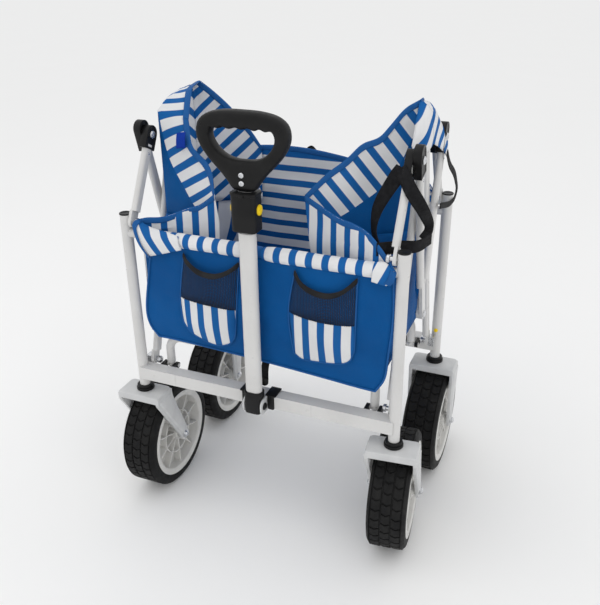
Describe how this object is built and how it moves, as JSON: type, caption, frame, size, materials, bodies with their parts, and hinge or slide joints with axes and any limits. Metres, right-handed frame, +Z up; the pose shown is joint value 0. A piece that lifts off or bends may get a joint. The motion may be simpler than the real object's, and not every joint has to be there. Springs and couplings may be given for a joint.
{
  "type": "folding beach cart",
  "caption": "Folding beach cart on wide swivelling wheels, with a striped fabric basket, side bars that fold along its length and a telescoping D-grip pull handle.",
  "frame": {"origin": "on the ground, under the middle of the cart's bounding box as it stands nearly folded", "axes": "+X to the cart's right, +Y to its rear, +Z up"},
  "size_m": [0.6026, 0.4715, 0.803],
  "materials": {
    "white_steel": "satin powder coat",
    "grey_plastic": "moulded, fine grain",
    "rim_plastic": "moulded satin",
    "black_plastic": "moulded, fine grain",
    "black_grip": "soft satin",
    "yellow_plastic": "gloss",
    "tyre_rubber": "matt rubber",
    "zinc_steel": "zinc plated",
    "blue_fabric": "coated polyester weave",
    "striped_fabric": "striped polyester weave",
    "blue_binding": "woven binding tape",
    "black_mesh": "open mesh",
    "black_webbing": "woven webbing"
  },
  "bodies": {
    "front_frame": {"front_legs": "white_steel", "front_lower_bar": "white_steel", "front_top_rail": "white_steel", "front_leg_plugs": "black_plastic", "front_bearings": "black_plastic", "front_pivot_bolts": "zinc_steel", "front_arch_clips": "black_plastic", "handle_bracket": "white_steel", "handle_pivot_bolt": "black_plastic", "front_panel": "blue_fabric", "side_panel_right": "blue_fabric", "side_panel_left": "blue_fabric", "floor_panel": "blue_fabric", "front_pockets": "striped_fabric"},
    "rear_frame": {"rear_legs": "white_steel", "rear_lower_bar": "white_steel", "rear_top_rail": "white_steel", "rear_leg_plugs": "black_plastic", "rear_bearings": "black_plastic", "rear_pivot_bolts": "zinc_steel", "rear_arch_clips": "black_plastic", "rear_forks": "grey_plastic", "rear_axles": "zinc_steel", "rear_panel": "blue_fabric"},
    "front_long": {"front_long_bars": "white_steel"},
    "rear_long": {"rear_long_bars": "white_steel"},
    "front_link": {"front_short_links": "white_steel", "front_knee_bolts": "zinc_steel"},
    "rear_link": {"rear_short_links": "white_steel", "rear_knee_bolts": "zinc_steel"},
    "front_knee": {"front_knee_bars": "white_steel", "front_knee_caps": "black_plastic", "closure_strap": "black_webbing"},
    "rear_knee": {"rear_knee_bars": "white_steel", "rear_knee_caps": "black_plastic"},
    "front_arch": {"front_floor_arch": "white_steel"},
    "rear_arch": {"rear_floor_arch": "white_steel"},
    "caster_right": {"caster_fork_right": "grey_plastic", "caster_axle_right": "zinc_steel"},
    "caster_left": {"caster_fork_left": "grey_plastic", "caster_axle_left": "zinc_steel"},
    "wheel_front_right": {"tyre_front_right": "tyre_rubber", "rim_front_right": "rim_plastic"},
    "wheel_front_left": {"tyre_front_left": "tyre_rubber", "rim_front_left": "rim_plastic"},
    "wheel_rear_right": {"tyre_rear_right": "tyre_rubber", "rim_rear_right": "rim_plastic"},
    "wheel_rear_left": {"tyre_rear_left": "tyre_rubber", "rim_rear_left": "rim_plastic"},
    "pull_handle": {"handle_socket": "black_plastic", "handle_outer_tube": "white_steel", "handle_collar": "black_plastic"},
    "handle_slider": {"handle_inner_tube": "zinc_steel", "handle_grip": "black_grip", "grip_screws": "zinc_steel"},
    "button_right": {"collar_button_right": "yellow_plastic"},
    "button_left": {"collar_button_left": "yellow_plastic"},
    "snap_button": {"leg_button": "yellow_plastic"}
  },
  "joints": [
    {"name": "fold", "type": "slide", "parent": "front_frame", "child": "rear_frame", "axis": [0, 1, 0], "range_m": [-0.018, 0.4945]},
    {"name": "front_long_pivot", "type": "hinge", "parent": "front_frame", "child": "front_long", "pos_m": [0, -0.1527, 0.3], "axis": [-1, 0, 0], "range_deg": [-1.6, 36.11]},
    {"name": "rear_long_pivot", "type": "hinge", "parent": "rear_frame", "child": "rear_long", "pos_m": [0, 0.1098, 0.3], "axis": [1, 0, 0], "range_deg": [-1.6, 36.11]},
    {"name": "front_link_pivot", "type": "hinge", "parent": "front_frame", "child": "front_link", "pos_m": [0, -0.1757, 0.5885], "axis": [-1, 0, 0], "range_deg": [-1.55, 34.6]},
    {"name": "rear_link_pivot", "type": "hinge", "parent": "rear_frame", "child": "rear_link", "pos_m": [0, 0.1328, 0.5885], "axis": [1, 0, 0], "range_deg": [-1.55, 34.6]},
    {"name": "front_knee_pivot", "type": "hinge", "parent": "front_link", "child": "front_knee", "pos_m": [0, -0.10174, 0.72472], "axis": [1, 0, 0], "range_deg": [-3.12, 77.78]},
    {"name": "rear_knee_pivot", "type": "hinge", "parent": "rear_link", "child": "rear_knee", "pos_m": [0, 0.05884, 0.72472], "axis": [-1, 0, 0], "range_deg": [-3.12, 77.78]},
    {"name": "front_arch_pivot", "type": "hinge", "parent": "front_frame", "child": "front_arch", "pos_m": [0, -0.1447, 0.29], "axis": [-1, 0, 0], "range_deg": [-3.5, 88.3]},
    {"name": "rear_arch_pivot", "type": "hinge", "parent": "rear_frame", "child": "rear_arch", "pos_m": [0, 0.1018, 0.29], "axis": [1, 0, 0], "range_deg": [-3.5, 88.3]},
    {"name": "caster_right_swivel", "type": "hinge", "parent": "front_frame", "child": "caster_right", "pos_m": [0.25, -0.1757, 0.24], "axis": [0, 0, 1], "continuous": true},
    {"name": "caster_left_swivel", "type": "hinge", "parent": "front_frame", "child": "caster_left", "pos_m": [-0.25, -0.1757, 0.24], "axis": [0, 0, 1], "continuous": true},
    {"name": "wheel_front_right_spin", "type": "hinge", "parent": "caster_right", "child": "wheel_front_right", "pos_m": [0.24441, -0.12249, 0.111], "axis": [0.9945, 0.1045, 0], "continuous": true},
    {"name": "wheel_front_left_spin", "type": "hinge", "parent": "caster_left", "child": "wheel_front_left", "pos_m": [-0.25, -0.1222, 0.111], "axis": [1, 0, 0], "continuous": true},
    {"name": "wheel_rear_right_spin", "type": "hinge", "parent": "rear_frame", "child": "wheel_rear_right", "pos_m": [0.25, 0.1248, 0.111], "axis": [1, 0, 0], "continuous": true},
    {"name": "wheel_rear_left_spin", "type": "hinge", "parent": "rear_frame", "child": "wheel_rear_left", "pos_m": [-0.25, 0.1248, 0.111], "axis": [1, 0, 0], "continuous": true},
    {"name": "handle_tilt", "type": "hinge", "parent": "front_frame", "child": "pull_handle", "pos_m": [0, -0.2027, 0.283], "axis": [1, 0, 0], "range_deg": [0, 95]},
    {"name": "handle_extend", "type": "slide", "parent": "pull_handle", "child": "handle_slider", "axis": [0, 0, 1], "range_m": [0, 0.25]},
    {"name": "collar_button_right_press", "type": "slide", "parent": "pull_handle", "child": "button_right", "axis": [-1, 0, 0], "range_m": [0, 0.003], "stiffness_N_per_m": 400},
    {"name": "collar_button_left_press", "type": "slide", "parent": "pull_handle", "child": "button_left", "axis": [1, 0, 0], "range_m": [0, 0.003], "stiffness_N_per_m": 400},
    {"name": "leg_button_press", "type": "slide", "parent": "rear_frame", "child": "snap_button", "axis": [0, 1, 0], "range_m": [0, 0.003], "stiffness_N_per_m": 400}
  ],
  "couplings": [
    {"joint": "front_long_pivot", "follows": "fold", "rad_per_m": 1.2638},
    {"joint": "rear_long_pivot", "follows": "fold", "rad_per_m": 1.2638},
    {"joint": "front_link_pivot", "follows": "fold", "rad_per_m": 1.2106},
    {"joint": "rear_link_pivot", "follows": "fold", "rad_per_m": 1.2106},
    {"joint": "front_knee_pivot", "follows": "fold", "rad_per_m": 2.7346},
    {"joint": "rear_knee_pivot", "follows": "fold", "rad_per_m": 2.7346},
    {"joint": "front_arch_pivot", "follows": "fold", "rad_per_m": 3.1059},
    {"joint": "rear_arch_pivot", "follows": "fold", "rad_per_m": 3.1059}
  ]
}
